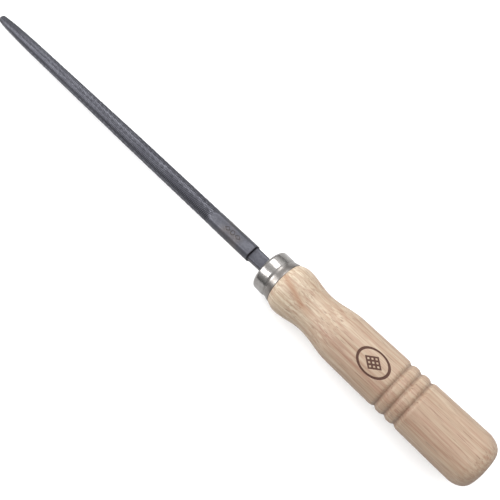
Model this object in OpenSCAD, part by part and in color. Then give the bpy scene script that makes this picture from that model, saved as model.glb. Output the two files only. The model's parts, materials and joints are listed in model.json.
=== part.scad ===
// Round file with a square tang, a pressed steel ferrule and a turned handle.
//
// The tool lies along X, with its tip towards -X and its butt towards +X.
// The origin is on the axis at the heel, where the round body ends and the
// tang begins. The flat ground on the body at the heel faces +Z.

/* [File body] */
// Length of the round body, from the tip to the heel
body_len = 200; // [150:5:250]
// Diameter of the parallel part of the body
body_d = 7.8; // [7.6:0.1:9]
// Length of the slow taper, from the tip
taper_len = 120; // [80:2:120]
// Diameter that the slow taper alone would reach at the tip
taper_d = 6.3; // [5.8:0.1:7]
// Length of the nose, where the body narrows faster
nose_len = 34; // [20:1:50]
// Diameter at the tip
tip_d = 4.7; // [4:0.1:5.6]
// Radius of the rounded edge of the tip
tip_round = 1.4; // [0.5:0.1:1.8]

/* [Heel and tang] */
// Length of the ground flat in front of the heel
flat_len = 22.4; // [10:0.2:30]
// Depth of the ground flat below the round surface
flat_depth = 0.5; // [0.2:0.05:0.9]
// Length of the slope where the flat runs out
flat_runout = 3; // [1:0.5:5]
// Bevel around the heel
heel_bevel = 0.4; // [0.1:0.1:0.8]
// Width of the tang at the heel, across the flat
tang_w = 6.4; // [5.4:0.1:6.6]
// Thickness of the tang at the heel, square to the flat
tang_t = 5.4; // [4.8:0.1:5.8]
// Width of the tang at its end, inside the handle
tang_end_w = 3.8; // [3:0.1:4.5]
// Thickness of the tang at its end
tang_end_t = 3.2; // [2.4:0.1:4]
// Length of the tang from the heel
tang_len = 58; // [45:1:70]
// Part of the tang's diagonal that its four bevelled edges take off
tang_bevel = 0.14; // [0.1:0.01:0.2]

/* [Ferrule] */
// Distance from the heel to the front of the ferrule
ferrule_gap = 9.3; // [6:0.1:14]
// Outside diameter of the ferrule's front band
ferrule_d = 19.1; // [18:0.1:19.5]
// Outside diameter of the ferrule's flared back edge
ferrule_back_d = 19.8; // [19.6:0.1:20.2]
// Length of the ferrule
ferrule_len = 9.4; // [8:0.1:12]
// Thickness of the ferrule's sheet
ferrule_wall = 0.7; // [0.5:0.05:1]
// Radius of the ferrule's rounded front edge
ferrule_round = 1.3; // [1:0.1:1.8]
// Width that the front edge turns in over the end of the wood
ferrule_lip = 2.2; // [1.6:0.1:3]
// Depth of the crimp rolled around the ferrule
crimp_depth = 0.3; // [0.1:0.05:0.5]
// Distance from the ferrule's front to the middle of the crimp
crimp_at = 6; // [5:0.1:6.5]
// Width of the front half of the crimp
crimp_w = 0.8; // [0.6:0.1:1.4]

/* [Handle] */
// Length of the handle, from the front of the ferrule to the butt
handle_len = 106.3; // [104:0.1:125]
// Diameter where the wood meets the back of the ferrule
collar_d = 19.6; // [19.4:0.1:20]
// Diameter of the bead behind the ferrule
bead_d = 22; // [20.5:0.1:23]
// Distance from the ferrule's front to the top of the bead
bead_at = 13.4; // [13:0.1:16]
// Diameter of the waist
waist_d = 18.2; // [16:0.1:19]
// Distance from the ferrule's front to the waist
waist_at = 27; // [24:0.1:32]
// Diameter of the grip
grip_d = 21.9; // [20.5:0.1:24]
// Distance from the ferrule's front to the start of the grip
grip_at = 42.5; // [38:0.1:50]
// Length of the rounding at the butt
butt_round_len = 6.2; // [4:0.1:10]
// Width of the rounding at the butt
butt_round_w = 4.4; // [3:0.1:7]
// Diameter of the pilot hole that the tang is driven into
pilot_d = 4.6; // [3:0.1:5]
// Depth of the pilot hole from the front of the wood
pilot_depth = 56; // [52:1:64]

/* [Grooves] */
// Number of grooves turned in the grip
groove_count = 3; // [1:1:4]
// Distance from the ferrule's front to the first groove
groove_at = 66.2; // [60:0.1:72]
// Distance between neighbouring grooves
groove_pitch = 4.6; // [4.4:0.1:6]
// Depth of each groove
groove_depth = 0.85; // [0.3:0.05:1.2]
// Width of each groove, with its rounded shoulders
groove_w = 3.6; // [2:0.1:4.4]

/* [Hidden] */

$fn = 96;
body_r = body_d / 2;
taper_r = taper_d / 2;
tip_r = tip_d / 2;
ferrule_r = ferrule_d / 2;
ferrule_back_r = ferrule_back_d / 2;
collar_r = collar_d / 2;
bead_r = bead_d / 2;
waist_r = waist_d / 2;
grip_r = grip_d / 2;

taper_end_x = taper_len - body_len;
nose_end_x = nose_len - body_len;
ferrule_x = ferrule_gap;
wood_x = ferrule_x + ferrule_wall;
ferrule_end_x = ferrule_x + ferrule_len;
crimp_x = ferrule_x + crimp_at;
crimp_r = ferrule_r - crimp_depth;
bead_x = ferrule_x + bead_at;
waist_x = ferrule_x + waist_at;
grip_x = ferrule_x + grip_at;
groove_x = ferrule_x + groove_at;
butt_x = ferrule_x + handle_len;

taper_steps = 24;
curve_steps = 16;
corner_steps = 8;
// Depth that the tang's root reaches into the body, and margin of the cuts
root = 4;
margin = 1;

// Radius of the tapered part at x: a slow straight taper, and a curved nose
function tapered_r(x) =
    body_r
    - (body_r - taper_r) * (taper_end_x - x) / taper_len
    - (taper_r - tip_r) * pow(max(0, nose_end_x - x) / nose_len, 2);

// Smooth step from 0 to 1 that starts and ends level
function ease(t) = (1 - cos(180 * t)) / 2;

// Points [radius, x] of a level-ended curve between two stations
function s_curve(x0, r0, x1, r1) =
    [for (i = [0:curve_steps]) let (t = i / curve_steps)
        [r0 + (r1 - r0) * ease(t), x0 + (x1 - x0) * t]];

// Points of a rounded shoulder that starts steep and ends level
function shoulder(x0, r0, x1, r1) =
    [for (i = [0:corner_steps]) let (t = i / corner_steps)
        [r0 + (r1 - r0) * sin(90 * t), x0 + (x1 - x0) * t]];

// Points of a groove with a sharp bottom and rounded shoulders
function groove(x, r) =
    [for (i = [-corner_steps:corner_steps]) let (t = i / corner_steps)
        [r - groove_depth * (1 - sin(90 * abs(t))), x + t * groove_w / 2]];

// Points of a ring's rounded front edge, for one face of its sheet
function front_edge(r, corner, x) =
    [for (i = [0:corner_steps]) let (a = 90 * i / corner_steps)
        [r - corner + corner * sin(a), x + corner - corner * cos(a)]];

// Points of the crimp and the flare behind it, for the ferrule's outside or,
// a wall further in, for its inside and the wood under it
function crimp_and_flare(inset) = concat(
    s_curve(crimp_x - crimp_w, ferrule_r - inset, crimp_x, crimp_r - inset),
    s_curve(crimp_x, crimp_r - inset, ferrule_end_x, ferrule_back_r - inset)
);

function reversed(list) = [for (i = [len(list) - 1:-1:0]) list[i]];

// Turns an outline of [radius, x] points around the X axis
module turned(outline) {
    rotate([0, 90, 0])
        rotate_extrude()
            polygon(outline);
}

// Bar along X that tapers from w0 at the heel to w1 at the tang's end
module tang_bar(w0, w1) {
    root_w = w0 + (w0 - w1) * root / tang_len;
    linear_extrude(3 * tang_w, center = true)
        polygon([
            [-root, -root_w / 2],
            [tang_len, -w1 / 2],
            [tang_len, w1 / 2],
            [-root, root_w / 2]
        ]);
}

// Distance between two opposite bevels of a tang w wide and t thick
function across_bevels(w, t) = (w + t) / sqrt(2) * (1 - tang_bevel);

// Four-sided tapered tang with bevelled edges
module tang() {
    across = across_bevels(tang_w, tang_t);
    across_end = across_bevels(tang_end_w, tang_end_t);
    intersection() {
        tang_bar(tang_w, tang_end_w);
        rotate([90, 0, 0])
            tang_bar(tang_t, tang_end_t);
        rotate([45, 0, 0])
            tang_bar(across, across_end);
        rotate([-45, 0, 0])
            tang_bar(across, across_end);
    }
}

// Round body, tapered towards the tip
module round_body() {
    tip_edge = [for (i = [0:corner_steps]) let (a = 90 * i / corner_steps)
        [tip_r - tip_round * (1 - sin(a)), -body_len + tip_round * (1 - cos(a))]];
    taper_start_x = -body_len + tip_round;
    taper = [for (i = [1:taper_steps])
        let (x = taper_start_x + (taper_end_x - taper_start_x) * i / taper_steps)
        [tapered_r(x), x]];
    turned(concat(
        [[0, -body_len]],
        tip_edge,
        taper,
        [[body_r, -heel_bevel], [body_r - heel_bevel, 0], [0, 0]]
    ));
}

// Cutter for the ground flat: level up to the heel, sloping out at its front
module flat_cutter() {
    floor_z = body_r - flat_depth;
    rotate([90, 0, 0])
        linear_extrude(body_d + 2 * margin, center = true)
            polygon([
                [-flat_len - flat_runout, body_r + margin],
                [-flat_len, floor_z],
                [margin, floor_z],
                [margin, body_r + margin]
            ]);
}

module file_blade() {
    color("dimgray") {
        difference() {
            round_body();
            flat_cutter();
        }
        tang();
    }
}

// Outline of one face of the ferrule's sheet, from its front edge to its back
function ferrule_face(inset, x) = concat(
    front_edge(ferrule_r - inset, ferrule_round - inset / 2, x),
    crimp_and_flare(inset)
);

module ferrule() {
    lip_r = ferrule_r - ferrule_lip;
    color("silver")
        turned(concat(
            [[lip_r, ferrule_x]],
            ferrule_face(0, ferrule_x),
            reversed(ferrule_face(ferrule_wall, wood_x)),
            [[lip_r, wood_x]]
        ));
}

// Outline of the rounding at the butt
function butt_rounding() =
    [for (i = [0:curve_steps]) let (a = 90 * i / curve_steps)
        [grip_r - butt_round_w * (1 - cos(a)),
         butt_x - butt_round_len * (1 - sin(a))]];

// Outline of the wood, from its front end to the middle of the butt
function handle_outline() = concat(
    [[0, wood_x]],
    ferrule_face(ferrule_wall, wood_x),
    shoulder(ferrule_end_x, collar_r, bead_x, bead_r),
    s_curve(bead_x, bead_r, waist_x, waist_r),
    s_curve(waist_x, waist_r, grip_x, grip_r),
    [for (k = [0:groove_count - 1])
        each groove(groove_x + k * groove_pitch, grip_r)],
    butt_rounding(),
    [[0, butt_x]]
);

module handle() {
    color("burlywood")
        difference() {
            turned(handle_outline());
            tang();
            translate([wood_x - margin, 0, 0])
                rotate([0, 90, 0])
                    cylinder(h = pilot_depth + margin, d = pilot_d);
        }
}

file_blade();
ferrule();
handle();
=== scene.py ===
"""Looks of a round file: cut steel body, pressed ferrule, turned wooden handle.

The tool lies along X with its tip towards -X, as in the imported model, and the
flat ground at its heel faces +Z. The origin is on the axis at the heel.
Lengths are in metres. Angles around the axis start at +Z and grow towards +Y.
"""

import json
from math import atan2, cos, pi, radians, sin, sqrt, tan

import bmesh
import bpy
import numpy as np
from mathutils import Matrix, Vector

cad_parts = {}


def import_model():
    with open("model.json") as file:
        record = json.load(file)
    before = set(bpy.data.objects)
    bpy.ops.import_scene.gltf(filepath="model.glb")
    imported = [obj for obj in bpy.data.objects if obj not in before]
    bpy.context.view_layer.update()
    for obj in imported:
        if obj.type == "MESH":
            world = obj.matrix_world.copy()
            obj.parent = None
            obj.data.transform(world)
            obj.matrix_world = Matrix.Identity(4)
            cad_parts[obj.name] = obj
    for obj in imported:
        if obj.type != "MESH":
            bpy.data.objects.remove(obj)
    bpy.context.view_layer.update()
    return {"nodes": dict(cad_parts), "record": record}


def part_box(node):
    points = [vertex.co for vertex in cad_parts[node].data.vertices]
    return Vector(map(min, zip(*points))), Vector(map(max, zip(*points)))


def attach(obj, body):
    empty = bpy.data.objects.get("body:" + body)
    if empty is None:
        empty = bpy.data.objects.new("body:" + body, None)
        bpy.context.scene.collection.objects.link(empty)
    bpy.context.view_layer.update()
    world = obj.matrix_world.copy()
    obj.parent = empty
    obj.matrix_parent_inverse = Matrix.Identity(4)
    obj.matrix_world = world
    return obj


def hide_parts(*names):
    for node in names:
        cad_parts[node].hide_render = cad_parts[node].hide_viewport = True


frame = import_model()
MM = 0.001

# ---------------------------------------------------------------- dimensions

MOUNTS = {m["name"]: m for m in frame["record"]["mounts"]}
BODY_R = MOUNTS["body_shank"]["dims"]["r_mm"] * MM
TIP_X, TANG_END_X = (corner.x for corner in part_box("file_blade"))
FERRULE_X, FERRULE_END_X = (corner.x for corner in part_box("ferrule"))
WOOD_X, BUTT_X = (corner.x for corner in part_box("handle"))
BEAD_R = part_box("handle")[1].z

# Radius of the tip's rounded edge, and of the tip where it rests on the floor
TIP_ROUND = 1.4 * MM
TIP_R = 2.35 * MM

# The flat ground at the heel, and the slope where it runs out
FLAT_LEN = 22.4 * MM
FLAT_Z = BODY_R - 0.5 * MM
FLAT_RUNOUT = 3.0 * MM
SHOULDER_LEN = 0.35 * MM

# The cut teeth, in rows of slanted cuts around the body
TOOTH_PITCH = 0.85 * MM
TOOTH_DEPTH = 0.24 * MM
TOOTH_ROWS = 12
TOOTH_COLUMNS = 96
# In parts of the pitch: how far a cut leans across its row, and how far rows shift
TOOTH_SLANT = 0.8
ROW_SHIFT = 0.37
TEETH_START_X = TIP_X + TIP_ROUND
TEETH_END_X = -FLAT_LEN
TEETH_RUNOUT = 3 * MM
# One tooth from its root: place along the pitch, and height
TOOTH_SHAPE = ((0.0, 0.0), (0.16, 1.0), (0.42, 0.62), (0.74, 0.2))
# Every fourth point along a cut is lowered by the second cut
OVERCUT_STEP = 4
OVERCUT_HEIGHT = 0.4

# Half the tang's width and half its thickness, at the heel and at its end
TANG_HALF = np.array([3.2, 2.7]) * MM
TANG_END_HALF = np.array([1.9, 1.6]) * MM
TANG_SQUARENESS = 6.0
# Places of the tang's rings, closer together at the shoulder and at the ferrule
TANG_STATIONS = np.array([0.02, 0.5, 2, 5, 8, 9, 14]) * MM
# Lightness of the steel where no teeth are cut, on the scale from root to crest
HEEL_TONE = 0.47
TANG_TONE = 0.36

# The ferrule: its rounded front edge, its sheet, the width that it turns in, and dents
FERRULE_ROUND = 1.3 * MM
FERRULE_WALL = 0.7 * MM
FERRULE_LIP = 2.2 * MM
DENT_DEPTH = 0.06 * MM

BUTT_ROUND_LEN = 6.2 * MM
BUTT_ROUND_W = 4.4 * MM
# Crown of the butt: a point at the grip's radius lies this far in front of the middle
BUTT_CROWN = 0.25 * MM
# Where the plain, the marked and the grooved part of the grip start, for its rings
PLAIN_X = 56 * MM
MARKED_X = 58.5 * MM
GROOVED_X = 73 * MM
GROOVED_END_X = 88 * MM
# Room left between pieces that touch
CLEARANCE = 0.06 * MM

# The mark burned into the grip: middle, half length and half width
BURN_X = 65.7 * MM
BURN_ANGLE = radians(-5)
BURN_HALF = np.array([6.4, 4.7]) * MM
BURN_DEPTH = 0.16 * MM
# The marks stamped into the flat: middle, distance from one to the next, half
# sizes of the ring and the diamonds, and half the length that they all need
STAMP_X = -12.2 * MM
STAMP_STEP = 3.1 * MM
STAMP_RING_R = 0.95 * MM
STAMP_DIAMOND_R = 1 * MM
STAMP_REACH = 4.8 * MM
STAMP_DEPTH = 0.06 * MM

# The pith that the wood grew around, and the thickness of a growth layer
PITH_Y, PITH_Z = -38 * MM, -8 * MM
LAYER_PITCH = 2.1 * MM

# Distances of the lights from the ferrule and of the camera from where it aims, and
# half the width of the floor
SOFTBOX_DISTANCE = 0.9
CAMERA_DISTANCE = 0.2333
FLOOR_HALF = 4.0


# ------------------------------------------------------------ profile helpers


def outline(node):
    """Stations along X of a turned CAD node, and its outer radius at each."""
    vertices = frame["nodes"][node].data.vertices
    co = np.array([v.co for v in vertices])
    normal = np.array([v.normal for v in vertices])
    outer = (co[:, 1:] * normal[:, 1:]).sum(axis=1) > 0.1 * np.hypot(co[:, 1], co[:, 2])
    x = np.round(co[outer, 0], 6)
    radius = np.hypot(co[outer, 1], co[outer, 2])
    stations = np.unique(x)
    return stations, np.array([radius[x == s].max() for s in stations])


def radius_at(profile, x, soften=0.0):
    """Radius of a profile at x, with its corners softened over about that length."""
    x = np.asarray(x, float)
    steps = np.linspace(-1.5, 1.5, 13)
    weights = np.exp(-2 * steps**2)
    places = x[..., None] + steps * np.asarray(soften)[..., None]
    return np.interp(places, *profile) @ weights / weights.sum()


def smoothstep(low, high, value):
    t = np.clip((value - low) / (high - low), 0, 1)
    return t * t * (3 - 2 * t)


def line(distance, half_width, edge=0.12 * MM):
    """1 on a drawn line, falling to 0 at its edge."""
    return 1 - smoothstep(half_width - edge, half_width + edge, np.abs(distance))


def squared(angles, half_y, half_z):
    """Radius at each angle of a rectangle with rounded corners."""
    power = TANG_SQUARENESS
    reach = np.abs(np.sin(angles) / half_y) ** power + np.abs(np.cos(angles) / half_z) ** power
    return reach ** (-1 / power)


def full_turn(count):
    return np.arange(count) * 2 * pi / count


def denser_turn(middle, half_span, inside, outside):
    """Angles of one turn, with more of them within half_span of the middle."""
    near = np.linspace(middle - half_span, middle + half_span, inside)
    far = np.linspace(middle + half_span, middle - half_span + 2 * pi, outside + 2)[1:-1]
    return np.concatenate([near, far])


# --------------------------------------------------------------------- meshes


class Shell:
    """Collects rings of points and the faces between them for one closed mesh."""

    def __init__(self, *value_names):
        self.points, self.faces, self.count = [], [], 0
        self.values = {name: [] for name in value_names}

    def ring(self, x, angles, radius, **values):
        """Adds rows of points around the axis, and returns their numbers."""
        x, angles, radius = np.broadcast_arrays(x, angles, radius)
        self.points.append(
            np.stack([x, radius * np.sin(angles), radius * np.cos(angles)], -1).reshape(-1, 3)
        )
        for name, kept in self.values.items():
            kept.append(np.broadcast_to(values.get(name, 0.0), x.shape).ravel())
        numbers = np.arange(self.count, self.count + x.size).reshape(x.shape)
        self.count += x.size
        return numbers

    def tube(self, rings):
        """Joins each row of point numbers to the next one."""
        a, b = rings[:-1], np.roll(rings, -1, axis=1)[:-1]
        d, c = rings[1:], np.roll(rings, -1, axis=1)[1:]
        self.faces += np.stack([a, b, c, d], -1).reshape(-1, 4).tolist()

    def stitch(self, first, first_angles, second, second_angles):
        """Joins two rings with different numbers of points, as a zip does."""
        n, m = len(first), len(second)
        ahead = np.append(first_angles, first_angles[0] + 2 * pi)
        other = np.append(second_angles, second_angles[0] + 2 * pi)
        i = j = 0
        while i < n or j < m:
            if j == m or (i < n and ahead[i + 1] <= other[j + 1]):
                self.faces.append([first[i], first[(i + 1) % n], second[j % m]])
                i += 1
            else:
                self.faces.append([first[i % n], second[(j + 1) % m], second[j]])
                j += 1

    def close(self, ring, x):
        """Closes a ring with a fan around a point on the axis."""
        centre = self.ring([x], [0.0], [0.0])[0]
        for a, b in zip(ring, np.roll(ring, -1)):
            self.faces.append([a, b, centre])

    def build(self, name, sharp_angle):
        mesh = bpy.data.meshes.new(name)
        mesh.from_pydata(np.concatenate(self.points).tolist(), [], self.faces)
        for key, values in self.values.items():
            layer = mesh.attributes.new(key, "FLOAT", "POINT")
            layer.data.foreach_set("value", np.concatenate(values).astype(np.float32))
        work = bmesh.new()
        work.from_mesh(mesh)
        bmesh.ops.recalc_face_normals(work, faces=work.faces)
        work.to_mesh(mesh)
        work.free()
        mesh.polygons.foreach_set("use_smooth", [True] * len(mesh.polygons))
        mesh.set_sharp_from_angle(angle=radians(sharp_angle))
        piece = bpy.data.objects.new(name, mesh)
        bpy.context.scene.collection.objects.link(piece)
        return piece


def hand_over(piece, node, material):
    """Gives a finished piece its material and body, and hides the CAD node."""
    piece.data.materials.append(material)
    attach(piece, "root")
    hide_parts(node)


# ----------------------------------------------------------------- file blade


def flat_limit(x):
    """Height of the ground flat at x, sloping up to the round surface in front."""
    before = np.clip((-FLAT_LEN - x) / FLAT_RUNOUT, 0, 1)
    return FLAT_Z + (BODY_R - FLAT_Z) * before + np.where(before >= 1, BODY_R, 0)


def under_flat(x, angles, radius):
    """Radius of a round surface after the flat is ground on it."""
    top = np.maximum(np.cos(angles), 1e-6)
    return np.minimum(radius, np.where(np.cos(angles) > 0, flat_limit(x) / top, radius))


def tip_rings(shell, profile, angles):
    """The rounded tip, from the middle of its end to where the teeth start."""
    arc = np.linspace(0, pi / 2, 7)[:, None]
    x = TIP_X + TIP_ROUND * (1 - np.cos(arc))
    radius = radius_at(profile, x) - 0.03 * MM
    inner = shell.ring(TIP_X, angles, radius[0] * 0.5)
    rings = shell.ring(x, angles, radius, crest=0.5)
    shell.close(inner, TIP_X)
    return np.vstack([inner[None], rings])


def tooth_places(tooth, place, column):
    """Where each point of each tooth lies along X, slanted in rows."""
    count = tooth[-1, 0] + 1
    pitch = (TEETH_END_X - TEETH_START_X) / count
    row_len = TOOTH_COLUMNS // TOOTH_ROWS
    slant = TOOTH_SLANT * (column % row_len) / row_len
    lean = pitch * (slant + ROW_SHIFT * np.sin(2.4 * (column // row_len)))
    x = TEETH_START_X + (tooth + place) * pitch
    # The first and the last teeth stand straight, to meet the tip and the heel
    free = smoothstep(TEETH_START_X, TEETH_START_X + 4 * MM, x)
    free = free * (1 - smoothstep(TEETH_END_X - TEETH_RUNOUT, TEETH_END_X - 0.5 * MM, x))
    return x + lean * free


def toothed_rings(shell, profile, angles):
    """Rows of slanted saw teeth, notched by a second cut the other way."""
    count = int((TEETH_END_X - TEETH_START_X) / TOOTH_PITCH)
    column = np.arange(TOOTH_COLUMNS)
    row = column // (TOOTH_COLUMNS // TOOTH_ROWS)
    place, height = np.array(TOOTH_SHAPE).T
    tooth = np.repeat(np.arange(count), len(place))[:, None]
    x = tooth_places(tooth, np.tile(place, count)[:, None], column)
    overcut = (column + tooth) % OVERCUT_STEP == 0
    crest = np.tile(height, count)[:, None] * np.where(overcut, OVERCUT_HEIGHT, 1.0)
    crest = crest * (0.92 + 0.08 * np.sin(tooth * 1.7 + row * 2.1))
    # The cuts are shallower near the tip, and run out along a wavy line at the heel
    depth = TOOTH_DEPTH * (0.45 + 0.55 * smoothstep(TIP_X, TIP_X + 40 * MM, x))
    wavy_x = x + 1.2 * MM * np.sin(angles + 2)
    ending = smoothstep(TEETH_END_X - TEETH_RUNOUT, TEETH_END_X - 0.3 * MM, wavy_x)
    crest = crest + (HEEL_TONE - crest) * ending
    depth = depth * (1 - ending)
    radius = under_flat(x, angles, radius_at(profile, x, 0.8 * MM) - depth * (1 - crest))
    return shell.ring(x, angles, radius, crest=crest)


def stamp(x, y):
    """The generic marks on the flat: a ring between two diamonds, as a depth of 0 to 1."""
    marks = line(np.hypot(x - STAMP_X, y) - STAMP_RING_R, 0.16 * MM, 0.07 * MM)
    for side in (-1, 1):
        diamond = np.abs(x - STAMP_X - side * STAMP_STEP) / 1.3 + np.abs(y) / 0.9
        marks = np.maximum(marks, line(diamond - STAMP_DIAMOND_R, 0.2 * MM, 0.08 * MM))
    return marks


def heel_rings(shell, profile, angles):
    """The smooth heel with its flat, down to the shoulder."""
    coarse = np.linspace(TEETH_END_X + 0.3 * MM, STAMP_X - STAMP_REACH - 0.2 * MM, 12)
    fine = np.arange(STAMP_X - STAMP_REACH, STAMP_X + STAMP_REACH, 0.15 * MM)
    rest = np.linspace(STAMP_X + STAMP_REACH + 0.2 * MM, -SHOULDER_LEN, 16)
    x = np.concatenate([coarse, fine, rest])[:, None]
    radius = under_flat(x, angles, radius_at(profile, np.minimum(x, -1 * MM)))
    on_flat = np.cos(angles) > 0.9
    marks = np.where(on_flat, stamp(x, radius * np.sin(angles)), 0)
    radius = radius - marks * STAMP_DEPTH
    # Painted shade darkens the steel just in front of the shoulder
    shoulder_shade = smoothstep(-2 * SHOULDER_LEN, -SHOULDER_LEN, x)
    return shell.ring(x, angles, radius, crest=HEEL_TONE, stamp=marks, grime=shoulder_shade)


def tang_section(x, angles):
    """Radius of the tang at each place along X, constant behind its end."""
    share = np.minimum(x / TANG_END_X, 1)
    half = TANG_HALF + (TANG_END_HALF - TANG_HALF) * share
    return squared(angles, half[:, :1], half[:, 1:])


def tang_rings(shell, angles):
    """The shoulder and the tapered square tang, up to its end inside the handle."""
    x = np.append(TANG_STATIONS, TANG_END_X)[:, None]
    root = 1 - smoothstep(0.1 * MM, 0.7 * MM, x)
    mouth = smoothstep(FERRULE_X - 1.5 * MM, FERRULE_X, x)
    radius = tang_section(x, angles) * (1 + 0.015 * root)
    # Painted shade darkens the tang at the shoulder and where it goes into the ferrule
    return shell.ring(x, angles, radius, crest=TANG_TONE, grime=root + 0.7 * mouth)


def file_blade():
    profile = outline("file_blade")
    shell = Shell("crest", "stamp", "grime")
    round_angles = full_turn(TOOTH_COLUMNS)
    heel_angles = denser_turn(0, np.arccos(FLAT_Z / BODY_R), 40, 80)
    tip = tip_rings(shell, profile, round_angles)
    teeth = toothed_rings(shell, profile, round_angles)
    heel = heel_rings(shell, profile, heel_angles)
    tang = tang_rings(shell, heel_angles)
    shell.tube(np.vstack([tip, teeth]))
    shell.stitch(teeth[-1], round_angles, heel[0], heel_angles)
    shell.tube(np.vstack([heel, tang]))
    shell.close(tang[-1], TANG_END_X)
    hand_over(shell.build("file_blade_cut", 50), "file_blade", steel_material())


# -------------------------------------------------------------------- ferrule


def dents(angles, x):
    """Slight unevenness of pressed sheet, from -1 to 0."""
    wave = np.sin(3 * angles + 900 * x + 0.6) + np.sin(5 * angles - 1300 * x + 2.0)
    wave = wave + 0.6 * np.sin(8 * angles + 700 * x + 4.1)
    return wave / 5.2 - 0.5


def ferrule_path(x, outside):
    """Outline of the sheet, once around: from the inside of the lip over the rounded
    front edge, along the outside and back along the inside."""
    arc = np.linspace(0, pi / 2, 14)[:-1]
    front_x = FERRULE_X + FERRULE_ROUND * (1 - np.cos(arc))
    front_r = outside[0] - FERRULE_ROUND * (1 - np.sin(arc))
    lip_r = outside[0] - FERRULE_LIP
    inner_x = x[x > FERRULE_X + FERRULE_ROUND + 0.2 * MM][::-4]
    inner_r = np.interp(inner_x, x, outside) - FERRULE_WALL
    return np.vstack([
        [FERRULE_X + FERRULE_WALL, lip_r + 0.1 * MM],
        [FERRULE_X + 0.5 * FERRULE_WALL, lip_r],
        [FERRULE_X + 0.12 * MM, lip_r + 0.05 * MM],
        [FERRULE_X, lip_r + 0.3 * MM],
        np.column_stack([front_x, front_r]),
        np.column_stack([x, outside]),
        [FERRULE_END_X, outside[-1] - 0.14 * MM],
        [FERRULE_END_X, outside[-1] - FERRULE_WALL + 0.1 * MM],
        np.column_stack([inner_x, inner_r]),
        [FERRULE_X + FERRULE_WALL, outside[0] - FERRULE_ROUND],
    ])


def film_and_shade(x, crimp_x):
    """A rougher film and painted shade on the sheet, as 0 to 1: at both edges, in the crimp and
    behind it.
    """
    rear = smoothstep(FERRULE_END_X - 1.2 * MM, FERRULE_END_X, x)
    front = 1 - smoothstep(FERRULE_X, FERRULE_X + 0.5 * MM, x)
    crimp = np.exp(-(((x - crimp_x) / (0.35 * MM)) ** 2))
    behind = smoothstep(crimp_x, crimp_x + 1 * MM, x)
    return np.maximum.reduce([rear, 0.6 * front, 0.7 * crimp, 0.75 * behind])


def ferrule():
    shell = Shell("grime")
    x = np.linspace(FERRULE_X + FERRULE_ROUND, FERRULE_END_X - 0.12 * MM, 72)
    outside = radius_at(outline("ferrule"), np.minimum(x, FERRULE_END_X - 0.4 * MM), 0.35 * MM)
    # The crimp is the narrowest place in front of the flare
    crimp_x = x[np.argmin(outside[: len(x) * 3 // 4])]
    path = ferrule_path(x, outside)
    along, radius = path[:, :1], path[:, 1:]
    angles = full_turn(192)
    radius = radius + dents(angles, along) * DENT_DEPTH
    rings = shell.ring(along, angles, radius, grime=film_and_shade(along, crimp_x))
    shell.tube(np.vstack([rings, rings[:1]]))
    hand_over(shell.build("ferrule_pressed", 50), "ferrule", chrome_material())


# --------------------------------------------------------------------- handle


def burned_mark(x, angles, radius):
    """A plain oval around a hatched diamond, as a depth of 0 to 1."""
    u = x - BURN_X
    v = radius * ((angles - BURN_ANGLE + pi) % (2 * pi) - pi)
    oval = (np.hypot(u / BURN_HALF[0], v / BURN_HALF[1]) - 1) * BURN_HALF.mean()
    marks = line(oval, 0.46 * MM)
    p = (u / 1.35 + v) / 2.6
    q = (u / 1.35 - v) / 2.6
    inside = smoothstep(1.2 * MM, 1.05 * MM, np.maximum(np.abs(p), np.abs(q)))
    for cut in (-1, -1 / 3, 1 / 3, 1):
        for way in (p, q):
            marks = np.maximum(marks, inside * line(way - cut * MM, 0.16 * MM, 0.05 * MM))
    return marks


def grip_stations():
    """Stations along the wood behind the ferrule, closer together where it has detail."""
    neck = np.arange(FERRULE_END_X + 0.3 * MM, PLAIN_X, 0.45 * MM)
    plain = np.arange(PLAIN_X, MARKED_X, 0.45 * MM)
    marked = np.arange(MARKED_X, GROOVED_X, 0.16 * MM)
    grooved = np.arange(GROOVED_X, GROOVED_END_X, 0.15 * MM)
    rest = np.arange(GROOVED_END_X, BUTT_X - BUTT_ROUND_LEN, 1.0 * MM)
    return np.concatenate([[FERRULE_END_X + 0.03 * MM], neck, plain, marked, grooved, rest])


def hidden_rings(shell, angles):
    """The spigot under the ferrule, a little clear of its sheet."""
    x = np.linspace(WOOD_X + 0.9 * MM, FERRULE_END_X + 0.02 * MM, 14)
    inside = radius_at(outline("ferrule"), np.minimum(x, FERRULE_END_X - 0.1 * MM)) - FERRULE_WALL
    return shell.ring(x[:, None], angles, inside[:, None] - 2 * CLEARANCE)


def grip_rings(shell, wood, grip_r, angles):
    """The bead, the waist and the grip, with its burned mark and painted shade in its grooves."""
    x = grip_stations()
    grooved = (x > GROOVED_X) & (x < GROOVED_END_X)
    soften = np.where(grooved, 0.2, 1.0) * MM
    soften = soften * smoothstep(FERRULE_END_X, FERRULE_END_X + 3 * MM, x)
    radius = radius_at(wood, np.maximum(x, FERRULE_END_X + 0.05 * MM), soften)[:, None]
    burn = burned_mark(x[:, None], angles, radius)
    # Painted shade in the grooves, darker where they cut deeper
    dust = smoothstep(0.1 * MM, 0.8 * MM, grip_r - radius) * grooved[:, None]
    return shell.ring(x[:, None], angles, radius - burn * BURN_DEPTH, burn=burn, dust=dust)


def butt_rings(shell, grip_r, angles):
    """The rounded butt, closed at its slightly crowned end."""
    arc = np.linspace(0, pi / 2, 22)[:, None]
    radius = grip_r - BUTT_ROUND_W * (1 - np.cos(arc))
    x = BUTT_X - BUTT_ROUND_LEN * (1 - np.sin(arc))
    # Three rings across the end face, as parts of its radius
    share = np.array([[0.8], [0.5], [0.25]])
    radius = np.vstack([radius, radius[-1] * share])
    x = np.vstack([x, np.full(share.shape, BUTT_X)])
    x = x - BUTT_CROWN * np.minimum(radius / grip_r, 1) ** 2
    rings = shell.ring(x, angles, radius, end=smoothstep(BUTT_X - 3 * MM, BUTT_X, x))
    shell.close(rings[-1], BUTT_X)
    return rings


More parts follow.
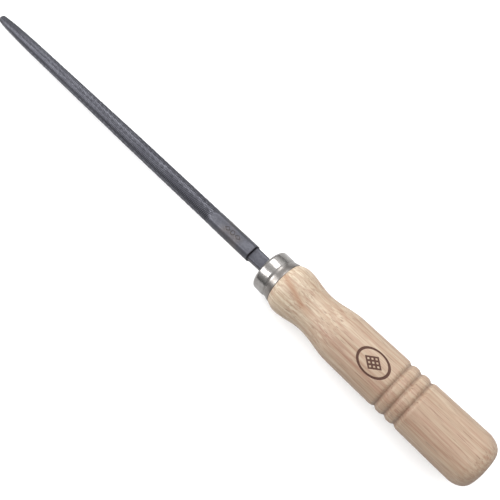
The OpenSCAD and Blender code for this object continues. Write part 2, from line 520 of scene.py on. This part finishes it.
def hole_rings(shell, angles):
    """The hole around the tang, from its closed end to its flared mouth."""
    end_x = TANG_END_X + 0.5 * MM
    x = np.array([[end_x], [12 * MM], [WOOD_X + 0.25 * MM], [WOOD_X]])
    room = np.array([[0.1], [0.1], [0.12], [0.35]]) * MM
    rings = shell.ring(x, angles, tang_section(x, angles) + room)
    shell.close(rings[0], end_x)
    return rings


def handle():
    wood = outline("handle")
    grip_r = radius_at(wood, BUTT_X - BUTT_ROUND_LEN - 1 * MM)
    shell = Shell("burn", "dust", "end")
    angles = denser_turn(BURN_ANGLE, radians(30), 96, 124)
    hidden = hidden_rings(shell, angles)
    grip = grip_rings(shell, wood, grip_r, angles)
    butt = butt_rings(shell, grip_r, angles)
    hole = hole_rings(shell, angles)
    front_r = np.array([[5.6], [7.0], [7.7]]) * MM
    front = shell.ring(WOOD_X + CLEARANCE, angles, front_r)
    shell.tube(np.vstack([hole, front, hidden, grip, butt]))
    hand_over(shell.build("handle_turned", 40), "handle", wood_material())


# ------------------------------------------------------------------ materials


def node(tree, kind, inputs=None, **settings):
    """Adds a shader node; an input is a value or another node's output."""
    made = tree.nodes.new("ShaderNode" + kind)
    for key, value in settings.items():
        setattr(made, key, value)
    for key, value in (inputs or {}).items():
        if isinstance(value, bpy.types.NodeSocket):
            tree.links.new(value, made.inputs[key])
        else:
            made.inputs[key].default_value = value
    return made


def maths(tree, operation, a, b=0.0, clamp=False):
    made = node(tree, "Math", {0: a, 1: b}, operation=operation, use_clamp=clamp)
    return made.outputs[0]


def scaled(tree, value, factor, clamp=False):
    return maths(tree, "MULTIPLY", value, factor, clamp)


def spread(tree, value, low, high, to_low=0.0, to_high=1.0):
    """Maps low..high to to_low..to_high, smoothly and clamped."""
    inputs = {"Value": value, "From Min": low, "From Max": high, "To Min": to_low, "To Max": to_high}
    return node(tree, "MapRange", inputs, interpolation_type="SMOOTHSTEP").outputs["Result"]


def blend(tree, amount, a, b, way="MIX"):
    """Mixes two colours."""
    made = node(tree, "Mix", data_type="RGBA", blend_type=way)
    for socket, value in ((made.inputs[0], amount), (made.inputs[6], a), (made.inputs[7], b)):
        if isinstance(value, bpy.types.NodeSocket):
            tree.links.new(value, socket)
        else:
            socket.default_value = value
    return made.outputs[2]


def stretched(tree, point, scale, rotation=(0, 0, 0)):
    """The point with each axis scaled, so that a texture on it is stretched."""
    return node(tree, "Mapping", {"Vector": point, "Scale": scale, "Rotation": rotation}).outputs[0]


def noise(tree, point, scale=1.0, detail=2.0, rough=0.5, warp=0.0):
    inputs = {"Vector": point, "Scale": scale, "Detail": detail}
    inputs.update({"Roughness": rough, "Distortion": warp})
    return node(tree, "TexNoise", inputs).outputs["Fac"]


def attribute(tree, name):
    return node(tree, "Attribute", attribute_name=name).outputs["Fac"]


def srgb(red, green, blue):
    """A colour given as 0 to 255 display values, as the shader wants it."""
    display = np.array([red, green, blue]) / 255
    linear = np.where(display < 0.04045, display / 12.92, ((display + 0.055) / 1.055) ** 2.4)
    return (*linear.tolist(), 1.0)


def new_material(name, **constants):
    """A material, its tree, its shader and the shaded point in the piece's own frame."""
    material = bpy.data.materials.new(name)
    material.use_nodes = True
    tree = material.node_tree
    shader = tree.nodes["Principled BSDF"]
    for key, value in constants.items():
        shader.inputs[key.replace("_", " ")].default_value = value
    return material, tree, shader, node(tree, "TexCoord").outputs["Object"]


def bump(tree, shader, height, distance, strength=1.0):
    made = node(tree, "Bump", {"Height": height, "Distance": distance, "Strength": strength})
    tree.links.new(made.outputs[0], shader.inputs["Normal"])


def steel_material():
    """Hardened dark steel: grey teeth with painted shade in their roots, and painted shade at the
    heel's shoulder and on the tang.
    """
    material, tree, shader, point = new_material("blade_steel", Metallic=0.92)
    mottle = noise(tree, stretched(tree, point, (900, 1600, 1600)), detail=5, rough=0.65)
    patches = noise(tree, stretched(tree, point, (90, 260, 260)), detail=3)
    streaks = noise(tree, stretched(tree, point, (300, 7000, 7000)), detail=2)
    bright = blend(tree, spread(tree, patches, 0.35, 0.65), srgb(106, 107, 114), srgb(120, 121, 128))
    # Darker towards the tooth roots as painted shade in the recesses; the lighter crests stand for
    # wear
    crest = spread(tree, attribute(tree, "crest"), 0.0, 0.9)
    colour = blend(tree, crest, srgb(48, 48, 54), bright)
    colour = blend(tree, spread(tree, mottle, 0.35, 0.7, 0, 0.45), colour, srgb(64, 63, 69))
    # A brown stain around the stamped marks, then the marks, then painted shade at the heel's
    # shoulder and on the tang near the ferrule
    x = node(tree, "SeparateXYZ", {0: point}).outputs[0]
    from_stamp = maths(tree, "ABSOLUTE", maths(tree, "SUBTRACT", x, STAMP_X))
    stain = spread(tree, from_stamp, 7.5 * MM, 3 * MM)
    stain = maths(tree, "MULTIPLY", stain, spread(tree, patches, 0.3, 0.6))
    colour = blend(tree, scaled(tree, stain, 0.3), colour, srgb(96, 84, 72))
    colour = blend(tree, scaled(tree, attribute(tree, "stamp"), 0.85), colour, srgb(50, 44, 41))
    grime = scaled(tree, attribute(tree, "grime"), 0.85, clamp=True)
    colour = blend(tree, grime, colour, srgb(22, 22, 25))
    tree.links.new(colour, shader.inputs["Base Color"])
    tree.links.new(spread(tree, mottle, 0.3, 0.75, 0.40, 0.55), shader.inputs["Roughness"])
    height = maths(tree, "ADD", scaled(tree, mottle, 0.7), scaled(tree, streaks, 0.3))
    bump(tree, shader, height, 0.03 * MM)
    return material


def chrome_material():
    """Polished pressed steel, with turning scratches, and a rougher film with painted shade at its
    edges, in its crimp and behind it.
    """
    material, tree, shader, point = new_material("ferrule_steel", Metallic=1.0)
    film = noise(tree, point, 420, detail=4, rough=0.6)
    scratches = noise(tree, stretched(tree, point, (9000, 500, 500)), detail=3)
    grime = attribute(tree, "grime")
    colour = blend(tree, spread(tree, film, 0.35, 0.7), srgb(156, 153, 151), srgb(140, 137, 134))
    # Painted shade, browner and darker, at the edges, in the crimp and behind it
    colour = blend(tree, scaled(tree, grime, 0.6, clamp=True), colour, srgb(92, 84, 78))
    tree.links.new(colour, shader.inputs["Base Color"])
    rough = spread(tree, film, 0.3, 0.7, 0.18, 0.26)
    # The film also makes these places rougher
    rough = maths(tree, "ADD", rough, scaled(tree, grime, 0.15))
    tree.links.new(rough, shader.inputs["Roughness"])
    bump(tree, shader, scratches, 0.004 * MM)
    return material


def vein(tree, parts, wave, start, end, half_width):
    """A dark vein in the top of the wood, as 0 to 1. Start and end are its x and y in mm."""
    middle = spread(tree, parts[0], start[0] * MM, end[0] * MM, start[1] * MM, end[1] * MM)
    middle = maths(tree, "ADD", middle, scaled(tree, wave, 2 * MM))
    from_middle = maths(tree, "ABSOLUTE", maths(tree, "SUBTRACT", parts[1], middle))
    core = spread(tree, from_middle, half_width * MM, 0.1 * MM)
    before_end = spread(tree, parts[0], (end[0] + 10) * MM, (end[0] - 6) * MM)
    after_start = spread(tree, parts[0], (start[0] - 8) * MM, start[0] * MM)
    shows = maths(tree, "MULTIPLY", before_end, after_start)
    shows = maths(tree, "MULTIPLY", shows, spread(tree, parts[2], 0, 4 * MM))
    return maths(tree, "MULTIPLY", core, shows)


def veined(tree, colour, parts, wave, streaks):
    """The colour with a narrow brown vein from the bead and a broad faint one on the grip."""
    narrow = vein(tree, parts, wave, (17, -0.8), (36, -4.6), 1.8)
    colour = blend(tree, scaled(tree, narrow, 0.55), colour, srgb(134, 88, 58))
    broad = vein(tree, parts, wave, (44, -6.5), (108, -6.0), 4.5)
    broad = maths(tree, "MULTIPLY", broad, spread(tree, streaks, 0.35, 0.6, 0.4, 1.0))
    return blend(tree, scaled(tree, broad, 0.34), colour, srgb(128, 90, 74))


def growth_layer(tree, parts, drift, wave):
    """Place within a growth layer, from 0 to 1. The layers are slices of wide cylinders
    around a far pith, bent by the two noises."""
    across = maths(tree, "SUBTRACT", parts[1], PITH_Y)
    down = maths(tree, "SUBTRACT", parts[2], PITH_Z)
    squares = maths(tree, "ADD", maths(tree, "POWER", across, 2), maths(tree, "POWER", down, 2))
    depth = maths(tree, "SQRT", squares)
    depth = maths(tree, "ADD", depth, scaled(tree, drift, 8 * MM))
    depth = maths(tree, "ADD", depth, scaled(tree, wave, 1.1 * MM))
    return maths(tree, "FRACT", maths(tree, "DIVIDE", depth, LAYER_PITCH))


def bare_wood(tree, point, x):
    """Pale wood with a slow change of tone, and painted shade that darkens it towards the butt."""
    tone = noise(tree, stretched(tree, point, (22, 210, 210)), detail=3)
    # Painted shade for light that falls off towards the butt
    painted_butt_shade = maths(tree, "ADD", x, scaled(tree, tone, 30 * MM))
    painted_butt_shade = spread(tree, painted_butt_shade, 12 * MM, 82 * MM)
    warmer = spread(tree, tone, 0.3, 0.7)
    pale = blend(tree, warmer, srgb(200, 190, 170), srgb(190, 176, 153))
    dark = blend(tree, warmer, srgb(168, 151, 131), srgb(151, 132, 112))
    return blend(tree, painted_butt_shade, pale, dark)


def wood_material():
    """Pale close-grained hardwood: growth layers, long pores and a burned mark."""
    material, tree, shader, point = new_material("handle_wood", IOR=1.45)
    parts = node(tree, "SeparateXYZ", {0: point}).outputs
    drift = noise(tree, stretched(tree, point, (16, 45, 45)), detail=2)
    wave = noise(tree, stretched(tree, point, (45, 260, 260)), detail=2)
    layer = growth_layer(tree, parts, drift, wave)
    late = maths(tree, "MULTIPLY", spread(tree, layer, 0.1, 0.85), spread(tree, layer, 1.0, 0.93))
    pink = noise(tree, stretched(tree, point, (40, 480, 480)), detail=3, warp=0.2)
    streaks = noise(tree, stretched(tree, point, (42, 1300, 1300)), detail=3, rough=0.6)
    fibres = noise(tree, stretched(tree, point, (160, 5200, 5200)), detail=3)
    pores = noise(tree, stretched(tree, point, (150, 2300, 2300)), detail=1)
    pores = spread(tree, pores, 0.58, 0.68)
    pores = maths(tree, "MULTIPLY", pores, spread(tree, layer, 0.9, 0.2, 0.45, 1))

    colour = bare_wood(tree, point, parts[0])
    colour = blend(tree, scaled(tree, late, 0.36), colour, srgb(140, 110, 90))
    colour = blend(tree, spread(tree, pink, 0.5, 0.75, 0, 0.42), colour, srgb(145, 110, 93))
    colour = blend(tree, spread(tree, streaks, 0.46, 0.68, 0, 0.55), colour, srgb(130, 97, 77))
    colour = blend(tree, spread(tree, fibres, 0.35, 0.75, 0, 0.25), colour, srgb(130, 103, 82))
    colour = blend(tree, scaled(tree, pores, 0.42), colour, srgb(92, 66, 50))
    colour = blend(tree, scaled(tree, attribute(tree, "end"), 0.3), colour, srgb(127, 101, 83))
    # Painted shade in the grooves
    colour = blend(tree, scaled(tree, attribute(tree, "dust"), 0.45), colour, srgb(94, 70, 56))
    colour = veined(tree, colour, parts, wave, streaks)
    scorch = spread(tree, attribute(tree, "burn"), 0.15, 0.75)
    colour = blend(tree, scorch, colour, srgb(68, 40, 28))
    tree.links.new(colour, shader.inputs["Base Color"])

    rough = spread(tree, fibres, 0.3, 0.7, 0.46, 0.58)
    rough = maths(tree, "ADD", rough, scaled(tree, scorch, 0.2))
    tree.links.new(rough, shader.inputs["Roughness"])
    height = maths(tree, "ADD", scaled(tree, fibres, 0.4), scaled(tree, streaks, 0.5))
    height = maths(tree, "SUBTRACT", height, pores)
    bump(tree, shader, height, 0.05 * MM, 0.6)
    return material


def floor_material():
    """Matt white paper with a very faint tooth. It throws less light back onto the tool
    than it shows to the camera, so that the tool's edges stay dark as in the photo."""
    material, tree, shader, point = new_material("floor_paper", Roughness=0.9)
    tooth = noise(tree, point, 700, detail=3)
    paper = blend(tree, tooth, (0.96, 0.96, 0.96, 1), (0.98, 0.98, 0.98, 1))
    seen = node(tree, "LightPath").outputs["Is Camera Ray"]
    colour = blend(tree, seen, (0.58, 0.58, 0.58, 1), paper)
    tree.links.new(colour, shader.inputs["Base Color"])
    bump(tree, shader, tooth, 0.03 * MM)
    return material


# ------------------------------------------------------- floor, light, camera


def floor():
    """A pale floor that slopes, so that the tip and the bead behind the ferrule rest on it."""
    wood = outline("handle")
    bead_x = wood[0][np.argmax(wood[1])]
    slope = (TIP_R - BEAD_R) / (bead_x - (TIP_X + TIP_ROUND))
    corners = [(sx * FLOOR_HALF, sy * FLOOR_HALF) for sx, sy in ((-1, -1), (1, -1), (1, 1), (-1, 1))]
    points = [(x, y, -BEAD_R + slope * (x - bead_x)) for x, y in corners]
    mesh = bpy.data.meshes.new("floor")
    mesh.from_pydata(points, [], [(0, 1, 2, 3)])
    mesh.materials.append(floor_material())
    made = bpy.data.objects.new("floor", mesh)
    bpy.context.scene.collection.objects.link(made)


def softbox(name, lean, turn, half_along, half_across, roll, radiance):
    """A rectangular light over the ferrule. Lean is its angle from straight up towards
    +X and turn its angle towards +Y; the halves are half its angles seen from there."""
    lean, turn, roll = radians(lean), radians(turn), radians(roll)
    back = Vector((sin(lean), cos(lean) * sin(turn), cos(lean) * cos(turn)))
    along = (Vector((1, 0, 0)) - back * back.x).normalized()
    along.rotate(Matrix.Rotation(roll, 3, back))
    facing = Matrix((along, back.cross(along), back)).transposed()
    light = bpy.data.lights.new(name, "AREA")
    light.shape = "RECTANGLE"
    light.size = 2 * SOFTBOX_DISTANCE * tan(radians(half_along))
    light.size_y = 2 * SOFTBOX_DISTANCE * tan(radians(half_across))
    light.energy = radiance * pi * light.size * light.size_y
    made = bpy.data.objects.new(name, light)
    bpy.context.scene.collection.objects.link(made)
    place = Vector((FERRULE_X, 0, 0)) + back * SOFTBOX_DISTANCE
    made.matrix_world = Matrix.Translation(place) @ facing.to_4x4()


def lights():
    softbox("key", lean=-10, turn=30, half_along=18, half_across=12, roll=0, radiance=5.6)
    softbox("fill", lean=-35, turn=-35, half_along=23, half_across=11, roll=7, radiance=6.6)


def world():
    """A room that is plain white to the camera. Its soft light comes mostly from around
    the key light. Mirrored in metal, it is dimmer at its horizon and towards -Y."""
    made = bpy.data.worlds.new("studio")
    made.use_nodes = True
    tree = made.node_tree
    path = node(tree, "LightPath").outputs
    direction = node(tree, "TexCoord").outputs["Generated"]
    parts = node(tree, "SeparateXYZ", {0: direction}).outputs
    mirrored = spread(tree, maths(tree, "ABSOLUTE", parts[2]), 0.05, 0.55, 0.25, 1.05)
    mirrored = maths(tree, "MULTIPLY", mirrored, spread(tree, parts[1], -0.8, 0.8, 0.6, 1.3))
    towards_key = {0: direction, 1: (-0.26, 0.42, 0.87)}
    window = node(tree, "VectorMath", towards_key, operation="DOT_PRODUCT")
    soft = spread(tree, window.outputs["Value"], -0.1, 1.0, 0.15, 1.8)
    unseen = {0: path["Is Glossy Ray"], 2: soft, 3: mirrored}
    unseen = node(tree, "Mix", unseen, data_type="FLOAT").outputs[0]
    strength = {0: path["Is Camera Ray"], 2: unseen, 3: 1.0}
    strength = node(tree, "Mix", strength, data_type="FLOAT").outputs[0]
    tree.links.new(strength, tree.nodes["Background"].inputs["Strength"])
    tree.nodes["Background"].inputs["Color"].default_value = (1, 1, 1, 1)
    bpy.context.scene.world = made


def camera():
    """A camera above the tool and a little towards its butt. In its view the axis runs
    down to the right at the heading."""
    towards_butt, tilt, heading = 0.352, radians(11), radians(43.16)
    across = sqrt(1 - towards_butt**2)
    back = Vector((towards_butt, -across * sin(tilt), across * cos(tilt)))
    turn = back.to_track_quat("Z", "Y").to_matrix()
    now = atan2(-turn.col[1].x, turn.col[0].x)
    turn = turn @ Matrix.Rotation(heading - now, 3, "Z")
    # It aims at a point just in front of the heel, moved a little within its own view
    aim = Vector((-2.35 * MM, 0, 0)) + turn.col[0] * 0.19 * MM + turn.col[1] * 0.37 * MM
    made = bpy.data.objects.new("camera", bpy.data.cameras.new("camera"))
    made.data.lens, made.data.sensor_width = 39.96, 36
    bpy.context.scene.collection.objects.link(made)
    made.matrix_world = Matrix.Translation(aim + back * CAMERA_DISTANCE) @ turn.to_4x4()
    bpy.context.scene.camera = made


file_blade()
ferrule()
handle()
floor()
lights()
world()
camera()
bpy.context.scene.view_settings.view_transform = "Standard"
